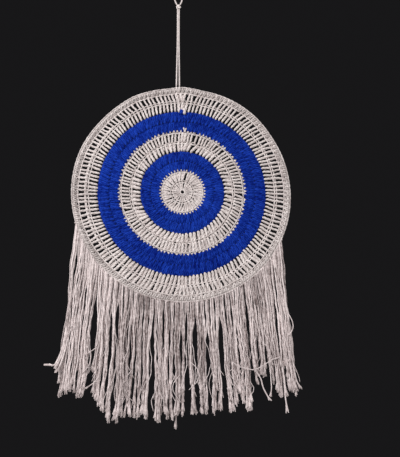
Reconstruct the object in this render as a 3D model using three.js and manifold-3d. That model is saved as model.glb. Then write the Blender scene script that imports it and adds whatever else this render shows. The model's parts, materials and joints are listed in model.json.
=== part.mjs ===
// Crochet dream catcher: a steel hoop covered in yarn and filled with rounds of crochet in white and blue,
// hung on a doubled cord, with a fringe of yarn bunches knotted round the lower rim.
// Millimetres, +Z up, the front faces -Y. The origin is the inside top of the hanging loop,
// where a hook takes it.

import * as THREE from "three";
import { mergeVertices } from "three/addons/utils/BufferGeometryUtils.js";
import Module from "manifold-3d";

const wasm = await Module();
wasm.setup();

// Yarn, fits and facets
const YARN = 2.2; // thickness of the hanger's cotton cord and of a wrapped turn
const FIT = 0.3; // gap between pieces that touch
const HOOP_FACETS = 72; // facets round the hoop
const CORD_SIDES = 8; // facets round a cord or a bunch's top
const LEG_STEPS = 20; // rings along a leg of the hanger
const LOOP_STEPS = 24; // rings along the hanging loop
const KNOT_SIDES = 14; // facets round the loop's knot
const KNOT_RINGS = 10;
const TURN_FACET = 0.55; // widest facet of a turn of yarn, in radians

// The crochet, worked outwards from the eye in the middle
const EYE_RADIUS = 2; // hole in the first ring
const FIRST_HEIGHT = 13; // height of the first round's stitches
const SECOND_HEIGHT = 16.6;
const INNER_BLUE_HEIGHT = 13.1; // each colour ring has two rounds of this height
const MIDDLE_WHITE_HEIGHT = 14.4;
const OUTER_BLUE_HEIGHT = 14.4;
const OUTER_WHITE_HEIGHT = 14.05;
const WORK_THICKNESS = 4; // front to back
const CHAIN_HEIGHT = 2.8; // closed top edge of an open round
const POST_WIDTH = 3; // one upright stitch of an open round

// The hoop and the stitches worked over it
const HOOP_WIRE = 3.2; // wire diameter
const RIM_WALL = 1.2; // yarn round the wire
const RIM_SEAM = 1.2; // the cover's edges stay this far apart along its inner side
const HOOP_SIDE = 7; // the hanger is tied this far to the left of the hoop's top

// The hanger
const KNOT_RADIUS = 3.6; // overhand knot that closes the hanging loop
const LOOP_SEAT = 0.5; // from the ends of the loop to the knot
const HITCH_REACH = 125; // degrees that a turn of yarn covers from the rim's outer edge

// The fringe
const LOCKS = 21; // bunches of yarn
const WISPS = 3; // wisps that a bunch parts into
const WISP_TOP = 3.2; // thickness of a wisp where it leaves the knot
const WISP_WIDTH = 4; // side to side, at its cut end
const WISP_DEPTH = 5; // front to back, at its cut end
const FRINGE_LEFT = 111; // degrees from the hoop's top to the ends of the row of knots
const FRINGE_RIGHT = 118;
const FRINGE_LENGTH = 148; // below the bottom of the rim, in the middle
const HEM_RISE = 28; // the outermost ends hang this much higher
const HEM_POWER = 4; // a higher power keeps the hem level further out
const HEM_UNEVEN = 9; // wisps end this much above or below the hem's line
const HEM_STEP = 2.4; // turn of the wave that makes the ends uneven, in radians from wisp to wisp
const FLARE = 1.1; // the hem is this much wider than the row of knots
const LOCK_GAP = 1; // between neighbouring bunches at the hem
const WISP_BEND = 0.6; // sideways bend of a bunch's wisps
const WISP_WAVE = 5; // turn of that bend from top to end, in radians
const KNOT_GAP = 3; // between neighbouring knots, side to side
const KNOT_FRONT = 12; // degrees that a knot reaches round to the front of the rim
const HEAD_RADIUS = 2.5; // gathered top of a bunch, round its swing axis

// Finishes
const CREAM = 0xcfc3b8;
const BLUE = 0x16309a;
const STEEL = 0x9a9c9e;

// The hanger's routes, chosen by hand, right half only
// A leg: distance from the middle line, drop below the knot
const LEG_ROUTE = [
  [1.35, 0], [1.35, 6], [1.36, 13], [1.37, 20], [1.39, 28], [1.42, 36], [1.46, 44], [1.52, 52],
  [1.6, 60], [1.7, 68], [1.81, 76], [1.93, 85], [2.05, 94], [2.2, 105], [2.35, 116],
];
// The loop: distance from the middle line, height above the hook
const LOOP_ROUTE = [
  [2.2, -14.5], [3.1, -12.6], [4.2, -10.2], [5, -7.6], [5.2, -5],
  [4.6, -2.4], [3.2, -0.3], [1.6, 0.8], [0, 1.1],
];

// Sizes that follow from those above
const rounds = [
  { name: "round_01_white", height: FIRST_HEIGHT, stitches: 22, colour: CREAM },
  { name: "round_02_white", height: SECOND_HEIGHT, stitches: 44, colour: CREAM },
  { name: "round_03_blue", height: INNER_BLUE_HEIGHT, stitches: 44, colour: BLUE },
  { name: "round_04_blue", height: INNER_BLUE_HEIGHT, stitches: 66, colour: BLUE },
  { name: "round_05_white", height: MIDDLE_WHITE_HEIGHT, stitches: 72, colour: CREAM },
  { name: "round_06_white", height: MIDDLE_WHITE_HEIGHT, stitches: 104, colour: CREAM },
  { name: "round_07_blue", height: OUTER_BLUE_HEIGHT, stitches: 120, colour: BLUE },
  { name: "round_08_blue", height: OUTER_BLUE_HEIGHT, stitches: 132, colour: BLUE },
  { name: "round_09_white", height: OUTER_WHITE_HEIGHT, stitches: 148, colour: CREAM, open: true },
  { name: "round_10_white", height: OUTER_WHITE_HEIGHT, stitches: 150, colour: CREAM, open: true },
];
const workRadius = rounds.reduce((radius, round) => radius + round.height, EYE_RADIUS);
const wireRadius = HOOP_WIRE / 2;
const rimRadius = wireRadius + FIT + RIM_WALL;
const hoopRadius = workRadius + FIT + rimRadius;
const turnRadius = rimRadius + FIT; // inside of a turn of yarn round the rim
const hitchRadius = turnRadius + YARN;
const [loopEndSide, loopEndHeight] = LOOP_ROUTE[0];
const knotHeight = loopEndHeight - Math.sqrt((KNOT_RADIUS + LOOP_SEAT) ** 2 - loopEndSide ** 2);
const legTop = knotHeight - KNOT_RADIUS - FIT;
const [legEndSide, legLength] = LEG_ROUTE.at(-1);
const hitchTop = legTop - legLength - FIT;
const hoopHeight = hitchTop - hitchRadius - hoopRadius;
const hangerAngle = -Math.asin(HOOP_SIDE / hoopRadius);
const rowRadius = hoopRadius + hitchRadius + FIT; // the bunches hang outside this
const rowLeft = -rowRadius * Math.sin(THREE.MathUtils.degToRad(FRINGE_LEFT));
const rowRight = rowRadius * Math.sin(THREE.MathUtils.degToRad(FRINGE_RIGHT));
const lockPitch = (rowRight - rowLeft) / (LOCKS - 1);
const knotWidth = lockPitch - KNOT_GAP;

const part = new THREE.Group();
const disc = new THREE.Group();
disc.position.set(HOOP_SIDE, 0, hoopHeight);
part.add(disc);

function addPiece(parent, name, geometry, color, roughness = 0.95, metalness = 0) {
  const mesh = new THREE.Mesh(geometry, new THREE.MeshStandardMaterial({ color, roughness, metalness }));
  mesh.name = name;
  parent.add(mesh);
  return mesh;
}

// A closed mesh with only its positions, and each shared corner once
function welded(geometry) {
  const bare = geometry.clone();
  bare.deleteAttribute("normal");
  bare.deleteAttribute("uv");
  return mergeVertices(bare);
}

function toSolid(geometry) {
  const mesh = welded(geometry);
  return new wasm.Manifold(new wasm.Mesh({
    numProp: 3,
    vertProperties: new Float32Array(mesh.attributes.position.array),
    triVerts: new Uint32Array(mesh.index.array),
  }));
}

function fuse(geometries) {
  const solid = geometries.map(toSolid).reduce((whole, piece) => whole.add(piece));
  const mesh = solid.getMesh();
  const geometry = new THREE.BufferGeometry();
  geometry.setAttribute("position", new THREE.BufferAttribute(mesh.vertProperties, 3));
  geometry.setIndex(new THREE.BufferAttribute(mesh.triVerts, 1));
  geometry.computeVertexNormals();
  return geometry;
}

// A regular section for a cord or strand
function section(radius, sides) {
  const corners = [];
  for (let side = 0; side < sides; side += 1) {
    const angle = (2 * Math.PI * (side + 0.5)) / sides;
    corners.push(new THREE.Vector2(radius * Math.cos(angle), radius * Math.sin(angle)));
  }
  return new THREE.Shape(corners);
}

function tube(points, radius, sides, steps) {
  const extrudePath = new THREE.CatmullRomCurve3(points);
  return new THREE.ExtrudeGeometry(section(radius, sides), { steps, extrudePath });
}

// A closed skin over rings of corners, from the top ring down, each ring anticlockwise seen from above
function loft(rings) {
  const sides = rings[0].length;
  const corners = rings.flat();
  const index = [];
  for (let ring = 0; ring < rings.length - 1; ring += 1) {
    for (let side = 0; side < sides; side += 1) {
      const next = (side + 1) % sides;
      const [a, b] = [ring * sides + side, ring * sides + next];
      index.push(a, b + sides, b, a, a + sides, b + sides);
    }
  }
  const last = corners.length - sides;
  for (let side = 1; side < sides - 1; side += 1) {
    index.push(0, side, side + 1);
    index.push(last, last + side + 1, last + side);
  }
  const geometry = new THREE.BufferGeometry().setFromPoints(corners);
  geometry.setIndex(index);
  return geometry;
}

// Point of the work at a radius and an angle clockwise from the top
function workPoint(radius, angle) {
  return new THREE.Vector2(radius * Math.sin(angle), radius * Math.cos(angle));
}

function circle(radius, facets) {
  const points = [];
  for (let facet = 0; facet < facets; facet += 1) {
    points.push(workPoint(radius, (2 * Math.PI * facet) / facets));
  }
  return points;
}

// Inner edge of an open round: upright posts with a slot between each two
function postEdge(inner, slotTop, stitches) {
  const points = [];
  for (let stitch = 0; stitch < stitches; stitch += 1) {
    const angle = (2 * Math.PI * stitch) / stitches;
    const next = (2 * Math.PI * (stitch + 1)) / stitches;
    const halfFoot = POST_WIDTH / 2 / inner;
    const halfTop = POST_WIDTH / 2 / slotTop;
    points.push(workPoint(inner, angle - halfFoot));
    points.push(workPoint(inner, angle + halfFoot));
    points.push(workPoint(slotTop, angle + halfTop));
    points.push(workPoint(slotTop, next - halfTop));
  }
  return points;
}

// One round of crochet: its closed top edge outside, the feet of its stitches inside
function roundGeometry(inner, outer, round) {
  const { open, stitches } = round;
  const facets = open ? Math.ceil(stitches / 2) : stitches;
  const outline = new THREE.Shape(circle(outer, facets).reverse());
  const edge = open ? postEdge(inner, outer - CHAIN_HEIGHT, stitches) : circle(inner, facets);
  outline.holes.push(new THREE.Path(edge));
  const geometry = new THREE.ExtrudeGeometry(outline, { depth: WORK_THICKNESS, bevelEnabled: false });
  geometry.translate(0, 0, -WORK_THICKNESS / 2);
  geometry.rotateX(Math.PI / 2);
  return geometry;
}

function addRounds() {
  let inner = EYE_RADIUS;
  for (const round of rounds) {
    const outer = inner + round.height;
    const foot = inner === EYE_RADIUS ? inner : inner + FIT;
    addPiece(disc, round.name, roundGeometry(foot, outer, round), round.colour);
    inner = outer;
  }
}

// Points of an arc about the middle of the wire: angle 0 points away from the hoop's centre
function rimArc(radius, from, to, steps) {
  const points = [];
  for (let step = 0; step <= steps; step += 1) {
    const angle = from + ((to - from) * step) / steps;
    points.push(new THREE.Vector2(hoopRadius + radius * Math.cos(angle), radius * Math.sin(angle)));
  }
  return points;
}

function addHoop() {
  const wireSides = 6;
  const wire = rimArc(wireRadius, 0, 2 * Math.PI, wireSides);
  addPiece(disc, "hoop", new THREE.LatheGeometry(wire, HOOP_FACETS), STEEL, 0.4, 1);

  // The cover wraps the wire and is open at its seam, along the inner side
  const outerSteps = 6;
  const innerSteps = 4;
  const boreRadius = (wireRadius + FIT) / Math.cos(Math.PI / innerSteps);
  const outerEnd = Math.PI - Math.asin(RIM_SEAM / 2 / rimRadius);
  const boreEnd = Math.PI - Math.asin(RIM_SEAM / 2 / boreRadius);
  const outside = rimArc(rimRadius, -outerEnd, outerEnd, outerSteps);
  const bore = rimArc(boreRadius, boreEnd, -boreEnd, innerSteps);
  const profile = [...outside, ...bore, outside[0].clone()];
  addPiece(disc, "rim_cover", new THREE.LatheGeometry(profile, HOOP_FACETS), CREAM);
}

// A turn of yarn round the rim, from one angle about the wire to another, made at the top of the hoop
function rimTurn(from, to, width) {
  const steps = Math.ceil((to - from) / TURN_FACET);
  const insideRadius = turnRadius / Math.cos((to - from) / steps / 2);
  const outside = rimArc(hitchRadius, from, to, steps);
  const inside = rimArc(insideRadius, to, from, steps);
  const outline = new THREE.Shape([...outside, ...inside]);
  const geometry = new THREE.ExtrudeGeometry(outline, { depth: width, bevelEnabled: false });
  geometry.translate(0, 0, -width / 2);
  // Away from the centre becomes up, and the width lies along the rim
  geometry.applyMatrix4(new THREE.Matrix4().makeBasis(
    new THREE.Vector3(0, 0, 1),
    new THREE.Vector3(0, 1, 0),
    new THREE.Vector3(-1, 0, 0),
  ));
  return geometry;
}

function addHanger() {
  const leg = (side) => LEG_ROUTE.map(([x, drop]) => new THREE.Vector3(side * x, 0, legTop - drop));
  addPiece(part, "hanger_cord_left", tube(leg(-1), YARN / 2, CORD_SIDES, LEG_STEPS), CREAM);
  addPiece(part, "hanger_cord_right", tube(leg(1), YARN / 2, CORD_SIDES, LEG_STEPS), CREAM);

  const right = LOOP_ROUTE.map(([x, z]) => new THREE.Vector3(x, 0, z));
  const left = LOOP_ROUTE.slice(0, -1).map(([x, z]) => new THREE.Vector3(-x, 0, z));
  const loop = [...right, ...left.reverse()];
  addPiece(part, "hanging_loop", tube(loop, YARN / 2, CORD_SIDES, LOOP_STEPS), CREAM);

  const ball = new THREE.SphereGeometry(KNOT_RADIUS, KNOT_SIDES, KNOT_RINGS);
  const knot = addPiece(part, "loop_knot", ball, CREAM);
  knot.position.z = knotHeight;

  const reach = THREE.MathUtils.degToRad(HITCH_REACH);
  const width = 2 * legEndSide + YARN;
  const hitch = addPiece(disc, "hanger_hitch", rimTurn(-reach, reach, width), CREAM);
  hitch.rotation.y = hangerAngle;
}

// Middle of a bunch's gathered top, at an angle clockwise from the hoop's top.
// Its nearest corner sits on the knot.
function headPlace(angle) {
  const reach = (knotWidth / 2) * Math.abs(Math.sin(angle)) + HEAD_RADIUS * Math.abs(Math.cos(angle));
  const radius = rowRadius + reach;
  return new THREE.Vector2(radius * Math.sin(angle), radius * Math.cos(angle));
}

// Angle on the lower half of the rim whose bunch hangs at this distance to the side, by halving the range
function angleAtSide(side) {
  const halvings = 40;
  let low = Math.PI / 2;
  let high = Math.PI;
  for (let halving = 0; halving < halvings; halving += 1) {
    const middle = (low + high) / 2;
    if (headPlace(middle).x > Math.abs(side)) low = middle;
    else high = middle;
  }
  return side < 0 ? -low : low;
}

// One wisp: it leaves the bunch's top at one side and ends lower down at another, fuller and cut off square
function wispGeometry(fromSide, toSide, drop, phase) {
  const stations = [0, 0.2, 0.5, 0.8, 1];
  const rings = stations.map((along) => {
    const halfWidth = (WISP_TOP + (WISP_WIDTH - WISP_TOP) * along) / 2;
    const halfDepth = (WISP_TOP + (WISP_DEPTH - WISP_TOP) * along) / 2;
    const bend = WISP_BEND * Math.sin(Math.PI * along) * Math.sin(WISP_WAVE * along + phase);
    const side = fromSide + (toSide - fromSide) * along + bend;
    const height = drop * along;
    return [
      new THREE.Vector3(side + halfWidth, 0, height),
      new THREE.Vector3(side, halfDepth, height),
      new THREE.Vector3(side - halfWidth, 0, height),
      new THREE.Vector3(side, -halfDepth, height),
    ];
  });
  return loft(rings);
}

// One bunch, in the frame of its swing axis: a rounded top, and wisps that spread towards the hem
function lockGeometry(index, head, endSide, halfEnd) {
  const top = new THREE.CylinderGeometry(HEAD_RADIUS, HEAD_RADIUS, knotWidth, CORD_SIDES);
  top.rotateZ(Math.PI / 2);
  const pieces = [top];
  // The hem is level in the middle and rises towards both ends
  const across = (2 * index) / (LOCKS - 1) - 1;
  const hem = -(hoopRadius + rimRadius) - FRINGE_LENGTH + HEM_RISE * across ** HEM_POWER;
  for (let wisp = 0; wisp < WISPS; wisp += 1) {
    const share = (2 * wisp) / (WISPS - 1) - 1;
    const fromSide = share * (knotWidth - WISP_TOP) / 2;
    const toSide = endSide - head.x + share * (halfEnd - WISP_WIDTH / 2 - WISP_BEND);
    const uneven = HEM_UNEVEN * Math.sin(HEM_STEP * (index * WISPS + wisp));
    pieces.push(wispGeometry(fromSide, toSide, hem + uneven - head.y, index));
  }
  return fuse(pieces);
}

function addFringe() {
  const halfEnd = (lockPitch * FLARE - LOCK_GAP) / 2;
  const back = THREE.MathUtils.degToRad(HITCH_REACH);
  const front = THREE.MathUtils.degToRad(KNOT_FRONT);
  for (let index = 0; index < LOCKS; index += 1) {
    const number = String(index + 1).padStart(2, "0");
    const side = rowLeft + lockPitch * index;
    const angle = angleAtSide(side);
    const head = headPlace(angle);
    const knot = addPiece(disc, `fringe_knot_${number}`, rimTurn(-front, back, knotWidth), CREAM);
    knot.rotation.y = angle;
    const bunch = lockGeometry(index, head, side * FLARE, halfEnd);
    const lock = addPiece(disc, `fringe_lock_${number}`, bunch, CREAM);
    lock.position.set(head.x, 0, head.y);
  }
}

addRounds();
addHoop();
addHanger();
addFringe();

export default part;
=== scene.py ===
"""Crochet dream catcher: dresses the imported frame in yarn, as rounds, covered hoop, hanger and fringe."""

import json
import math
from typing import NamedTuple

import bpy
import numpy as np
from bpy.props import FloatProperty, FloatVectorProperty, IntProperty, PointerProperty
from bpy.types import Operator, Panel, PropertyGroup
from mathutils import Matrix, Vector


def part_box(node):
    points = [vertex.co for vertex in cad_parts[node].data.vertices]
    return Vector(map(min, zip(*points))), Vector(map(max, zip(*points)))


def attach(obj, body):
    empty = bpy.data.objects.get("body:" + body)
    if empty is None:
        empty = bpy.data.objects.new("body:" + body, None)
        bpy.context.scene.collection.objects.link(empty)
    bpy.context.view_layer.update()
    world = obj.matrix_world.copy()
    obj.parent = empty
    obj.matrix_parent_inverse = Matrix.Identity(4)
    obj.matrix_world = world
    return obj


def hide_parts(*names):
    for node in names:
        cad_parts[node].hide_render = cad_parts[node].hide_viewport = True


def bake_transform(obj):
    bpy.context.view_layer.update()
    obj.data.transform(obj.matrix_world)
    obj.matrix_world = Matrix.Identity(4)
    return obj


bl_info = {
    "name": "Crochet Dream Catcher",
    "version": (1, 0, 0),
    "blender": (4, 5, 0),
    "location": "View3D > Sidebar > Dream Catcher",
    "description": "Works the yarn of a crochet dream catcher round its frame",
    "category": "Object",
}

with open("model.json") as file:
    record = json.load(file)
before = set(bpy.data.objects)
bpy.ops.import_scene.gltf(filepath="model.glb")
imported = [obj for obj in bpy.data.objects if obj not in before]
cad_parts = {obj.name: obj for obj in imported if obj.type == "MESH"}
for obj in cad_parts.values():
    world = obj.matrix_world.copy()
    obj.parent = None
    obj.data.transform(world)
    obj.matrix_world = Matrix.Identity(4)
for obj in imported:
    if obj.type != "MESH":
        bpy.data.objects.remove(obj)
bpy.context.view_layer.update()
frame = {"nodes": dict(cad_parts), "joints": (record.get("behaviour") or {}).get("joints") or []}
TAU = 2 * math.pi
MM = 0.001

# The hoop and the rim, from the frame
HOOP_LOW, HOOP_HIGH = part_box("hoop")
HOOP = (HOOP_LOW + HOOP_HIGH) / 2
RIM_LOW, RIM_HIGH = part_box("rim_cover")
RIM_EDGE = (RIM_HIGH.x - RIM_LOW.x) / 2
RIM_YARN = 3.1 * MM  # from the middle of the wire to the rim's outer edge
HOOP_RADIUS = RIM_EDGE - RIM_YARN

# The rounds, from the frame, and each one's outer radius
ROUNDS = sorted(name for name in frame["nodes"] if name.startswith("round_"))
EYE_RADIUS = 2 * MM
OUTER = [(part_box(name)[1].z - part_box(name)[0].z) / 2 for name in ROUNDS]
WORK_RADIUS = OUTER[-1]


class End(NamedTuple):
    """A darned end of yarn that shows at the join: angles in degrees, lengths in millimetres."""

    angle: float  # where it starts, clockwise from the top
    to_angle: float
    start: float  # distance from the middle
    tip: float
    thick: float


class Round(NamedTuple):
    """How one round of crochet is worked: angles in degrees, lengths in millimetres."""

    stitches: int
    strand: float  # radius of each of a post's three strands
    apart: float  # how far the strands lie from the post's middle
    dip: float  # how far the posts' feet reach inwards from the edge of the round before
    uneven: float  # spread of the posts' places, as a share of the stitch
    closed: float  # share of the gaps between posts that yarn fills
    below: float  # how much fuller the posts are at the bottom
    joined: float  # how much fuller they are at the join
    inset: float  # how far inside the round's edge its chain lies
    join: float = 0  # angle where the round ends
    turned: float = 0  # share of a stitch by which it starts further on
    parted: tuple = ()  # angle where its posts stand apart, and by what share of a stitch
    paired: float = 0  # where posts stand two to a loop: share of the loop between their feet
    open_feet: float = 0  # how far up the gaps between posts stay open, if further than the dip
    tooth: tuple = ()  # reach and width of loops that stand out as teeth between blue feet
    broad: tuple = ()  # angles between which a bar along the chain makes it broader
    ends: tuple = ()


WORKED = (
    Round(22, 0.92, 0.75, 0, 0.06, 0.6, 0, 0, 0.4, parted=(8.2, 0.1)),
    Round(44, 1.00, 1.05, 0.9, 0.07, 0.86, 0, 0, 2.5,
          parted=(12.3, 0.02), paired=0.28, open_feet=2.9, tooth=(0.9, 0.6)),
    Round(44, 1.25, 1.35, 1.9, 0.05, 1, 0, 0, 1.7),
    Round(66, 1.20, 1.30, 1.8, 0.06, 1, 0, 0, 1.7),
    Round(72, 1.00, 1.12, 0.5, 0.10, 0.6, 0.20, 0.3, 1.7, join=4, parted=(14.3, 0.25), open_feet=5),
    Round(104, 0.74, 0.82, 1.8, 0.10, 0.05, 0.35, 0.5, 1.7, join=2, parted=(10.3, 0.25), tooth=(1, 0.8),
          ends=(End(1.9, 0.6, 85, 91.5, 1.1), End(1.9, 3, 85, 91, 1.0))),
    Round(120, 1.15, 1.28, 0.6, 0.05, 1, 0, 0, 1.7),
    Round(132, 1.15, 1.30, 1.8, 0.06, 1, 0, 0, 1.7,
          ends=(End(-1.6, -0.9, 111.5, 117.3, 2.2), End(-0.2, 0, 111.5, 116.6, 1.9))),
    Round(148, 0.79, 0.85, 0.7, 0.08, 0, 0.28, 0.5, 0.4, join=0.3, broad=(232, 312),
          ends=(End(0.9, 1, 119, 111, 2.3),)),
    Round(150, 0.74, 0.82, 1.8, 0.12, 0, 0.40, 0.7, 0.9, join=-2.3, turned=0.5),
)
RIM_STITCHES = 150
BENT = np.array((
    (-100, 0), (-66, 0.5), (-50, -0.5), (-38, 0), (-27, 1.4), (-18, 0.4), (-8, -0.7), (-2, 0.7), (0.5, 0.9),
    (3.5, 0.2), (11, -1.1), (20, -0.1), (33, 0.6), (44, 0.4), (56, -0.9), (70, -0.8), (84, -0.5), (100, 0),
)) * (math.radians(1), MM)  # angle clockwise from the top, and how far the rim stands out of round there
BENT_FROM = OUTER[7]  # inside this radius the work stays round
PARTED_REACH = 3  # posts draw apart over so many stitches to each side
JOIN_REACH = math.radians(3.4)
END_DEPTH = -2.3 * MM
END_THICK = np.array((0.7, 0.8, 0.9, 1, 1.1, 0.7)) * MM

# One post from its foot to its own chain: share of the way, depth to the back, gathering and thickness
POST_RISE = np.array((0, 0.08, 0.18, 0.32, 0.48, 0.64, 0.82, 1))
POST_DEPTH = np.array((0.9, -0.9, -1.5, -0.9, -0.3, 0, 0.1, 0.4)) * MM
POST_GATHER = np.array((0.35, 0.6, 0.9, 1, 1, 1, 1, 0.9))
POST_THICK = np.array((0.62, 0.76, 0.95, 1, 1, 1, 1, 1))
POST_TURNS = 0.9
POST_UNEVEN = 0.06  # spread of the posts' thickness
CLOSED_GATHER = 0.95  # least gathering in a round whose gaps are all closed
STRAND_SHARE, STRAND_LEAST = 0.21, 0.42 * MM  # a strand's radius: share of the post's room, and the least
APART_SHARE, APART_LEAST = 0.19, 0.3 * MM  # the same for how far the strands lie from the post's middle
FOOT_UNEVEN = 0.5 * MM  # spread of how far in the feet reach

# The turn of yarn over a post: shares of the post's height, width and strand, and its depth
WRAP_SLANT, WRAP_WIDTH, WRAP_STRAND = 0.3, 0.75, 0.7
WRAP_DEPTH, WRAP_FORWARD = 0.2 * MM, 1.5 * MM  # at its sides, and how far forward its middle stands of that

# The strands that fill gaps: how far inside the round's two edges they end, and depth
FILL_INSIDE = 0.5 * MM
BLUE_FILL = (0, 0, -0.5 * MM)
WHITE_FILL = (2 * MM, 0.8 * MM)  # its feet depend on the round
FILL_STRAND = 1.1  # share of the round's strand
FILL_GROWTH = 1.5  # how much more is filled where the posts are fuller

# The ring of yarn round the eye, from the eye's edge
EYE_FEET, EYE_RING = 0.8 * MM, 1.2 * MM
EYE_DEPTH, EYE_STRAND = -1.0 * MM, 1.0 * MM

# One link of a chain edge: share of the stitch, share of the opening, and the depth of its two legs
CHAIN_ALONG = np.array((-0.62, -0.34, 0, 0.34, 0.62))
CHAIN_PART = np.array((0.2, 0.75, 1, 0.75, 0.2))
CHAIN_INNER = np.array((0.4, -0.5, -0.9, -0.5, 0.4)) * MM
CHAIN_OUTER = np.array((0.6, -0.2, -0.5, -0.2, 0.6)) * MM
CHAIN_OPEN, BLUE_OPEN = 1.65 * MM, 0.8 * MM  # opening of a white round's links, and of a blue one's
CHAIN_UNEVEN = 0.12  # spread of that
CHAIN_STRAND = 0.72 * MM
CHAIN_BAR = 2.9 * MM  # from the chain's middle out to a bar along it
BAR_STRAND = 1.2 * CHAIN_STRAND

# One tooth: a loop, and a straight strand that fills it
TOOTH_ALONG = np.array((-0.34, -0.16, 0, 0.16, 0.34))
TOOTH_OUT = np.array((0.2, 1.6, 2.9, 1.6, 0.2)) * MM
TOOTH_DEPTH = np.array((0, -1.2, -1.8, -1.2, 0)) * MM
TOOTH_STRAND = 0.62 * MM
TOOTH_CORE = np.linspace(0, 1.8, 4) * MM
CORE_DEPTH, CORE_STRAND = -0.9 * MM, 1.4 * TOOTH_STRAND

# Where posts stand
NEAREST_LOOP = 1.05  # up to so many posts to a loop, each stands in the nearest one
EVEN_FEET = 0.55  # how far posts draw their feet from the loops they stand in towards even places
EVEN_GROWTH = 8  # how fast that sets in as a round has more posts than loops

# One stitch of the rim: distance from the middle, depth to the back, share of the parting, and thickness
RIM_OUT = np.array((
    WORK_RADIUS - 1.9 * MM, WORK_RADIUS - 0.6 * MM, HOOP_RADIUS - 1.8 * MM,
    HOOP_RADIUS - 0.6 * MM, HOOP_RADIUS + 0.6 * MM, HOOP_RADIUS + 1.4 * MM,
))
RIM_DEPTH = np.array((0.9, -1.4, -2.3, -2.7, -2.2, -0.6)) * MM
RIM_PART = np.array((0.3, 0.5, 0.9, 1, 1, 1))
RIM_THICK = np.array((0.65, 0.7, 0.85, 0.95, 0.85, 0.7)) * MM
RIM_SLANT = np.linspace(-0.2, 0.2, 6)
RIM_LEGS = (-0.22, 0.22)  # the two legs of a stitch, as shares of the stitch
RIM_UNEVEN = 0.07  # spread of the stitches' places
RIM_CORE = 1.9 * MM  # radius of the yarn laid along the wire
RIM_LOOPS = ((-0.62, 0.2 * MM), (0.1, 0.6 * MM))  # edge loops: turn about the wire, and depth in the rim
LOOP_STRAND, LOOP_SLANT, LOOP_SINK = 0.95 * MM, 0.3, 0.5 * MM

# The hanger's routes: distance from the middle line, and drop below the knot or height from the hook
LEG_ROUTE = (
    (1.05, 0), (1, 6), (1, 13), (1, 20), (1, 28), (1.02, 36), (1.05, 44), (1.12, 52),
    (1.22, 60), (1.34, 68), (1.48, 76), (1.64, 85), (1.8, 94), (1.98, 105), (2.15, 116),
)
LOOP_ROUTE = (
    (2.2, -14.5), (3.1, -12.6), (4.2, -10.2), (5, -7.6), (5.2, -5),
    (4.6, -2.4), (3.2, -0.3), (1.6, 0.8), (0, 1.1),
)
CORD_STEP = 1.2 * MM  # between the rings of a cord
CORD_SIDES, CORD_PLIES, CORD_GROOVE = 12, 3, 0.22
KNOT_REACH, KNOT_WAVE, KNOT_DEEP = 1.75 * MM, 0.95 * MM, 1.3 * MM  # the route of the overhand knot
HITCH_LIFT, HITCH_DRAWN = 0.6 * MM, 0.62 * MM  # from the rim's edge, and how far its turns draw together

# The fringe, measured from the middle of the hoop
HINGES = [Vector(joint["pos_m"]) for joint in frame["joints"] if joint["name"].startswith("fringe_swing")]
BUNCHES = sorted(name for name in frame["nodes"] if name.startswith("fringe_lock"))
FRINGE_RADIUS = RIM_EDGE - 0.5 * MM
FRINGE_TOP = 0.957  # width of the row of strands at the rim, as a share of the row of hinges
KNOTS = 2  # knots of a bunch, each of a few strands
KNOT_SPREAD = 0.74 * MM  # between neighbouring strands of a knot
OUTER_SPREAD = 0.26  # how much more it is at the ends of the row
KNOT_LIFT = 0.7 * MM  # of a strand's loop from the rim's edge
STEEP_FROM, STEEP_OVER = 85 * MM, 40 * MM  # side where the rim turns steep, and over what width
HEM = np.array((
    (-158, -272), (-146, -263), (-136, -268), (-128, -279), (-121, -267), (-110, -283), (-102, -293),
    (-91, -303), (-76, -297), (-60, -302), (-43, -297), (-27, -297), (-8, -300), (4, -299), (18, -293),
    (32, -289), (50, -292), (67, -290), (74, -272), (80, -274), (89, -289), (95, -278), (98, -247),
    (114, -248), (119, -257), (126, -265), (135, -275), (143, -267), (154, -262),
)) * MM
LONG_ENDS = np.array(((-8, -314), (139, -295), (154, -274))) * MM
LONG_NEAR = 0.6 * MM  # a strand this near to one of them takes its end
PARTINGS = np.array((
    (-109.5, 11), (-58, 3), (-36, 5), (5, 9), (31.5, 6), (48, 8),
)) * MM  # side at the rim, and width near the hem
PARTING_REACH = 8 * MM
FILLED = np.array((
    (-150, 1.3), (-114, 1.15), (-100, 0.76), (45, 0.73), (75, 0.92), (110, 1.1), (150, 1.2),
))  # side in millimetres, and the share of the row that its locks fill
NARROWS = 0.28  # share of its width that a lock loses on the way down
SIDE_LIGHT_TINT = np.array((
    (-150, 0.6), (-110, 0.45), (-85, 0.15), (80, 0.15), (115, 0.3), (150, 0.35),
))  # side in millimetres, and tint of the dullest strands there: painted light, brighter towards the ends of the row and most at the left, where the thick bundle lies in front
SHORT_STRANDS = 0.34  # share of the strands that end above the hem
SHORT_BY = (6, 38)  # how far above it, in millimetres
UNEVEN_ENDS = 2.5 * MM  # spread of the ends of locks, and of the strands in a lock
LOCK_SIZES = (4, 11)  # a lock has at least, and fewer than, so many strands
LOCK_SWAY = 2.2 * MM  # spread of how far locks hang to the side, less where they fill the row
CLING_FROM, CLING_OVER = 0.22, 0.3  # share of the drop by which locks begin to cling, and over what share
STRAND_STEP = 5 * MM  # between the rings of a strand
SLIM_TOPS, SLIM_OUTER = 0.35, 0.25  # how much slimmer strands are at the rim, and how much less at the ends
TINT_RANGE = 0.85  # from the dullest strands of a place to the brightest
STRAY_STEP = 4 * MM  # between the rings of a strand that hangs out of order
TUFT_PLIES = 6
TUFT_THICK = np.array((1, 1, 1.15, 1.35, 1.3))
LOOSE_PLY = 0.45 * MM  # radius of a loose ply
LOOSE_PLIES = 0.3  # share of the strands that a loose ply leaves
WIDEST = 156 * MM  # how far to the side the strands reach
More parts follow.
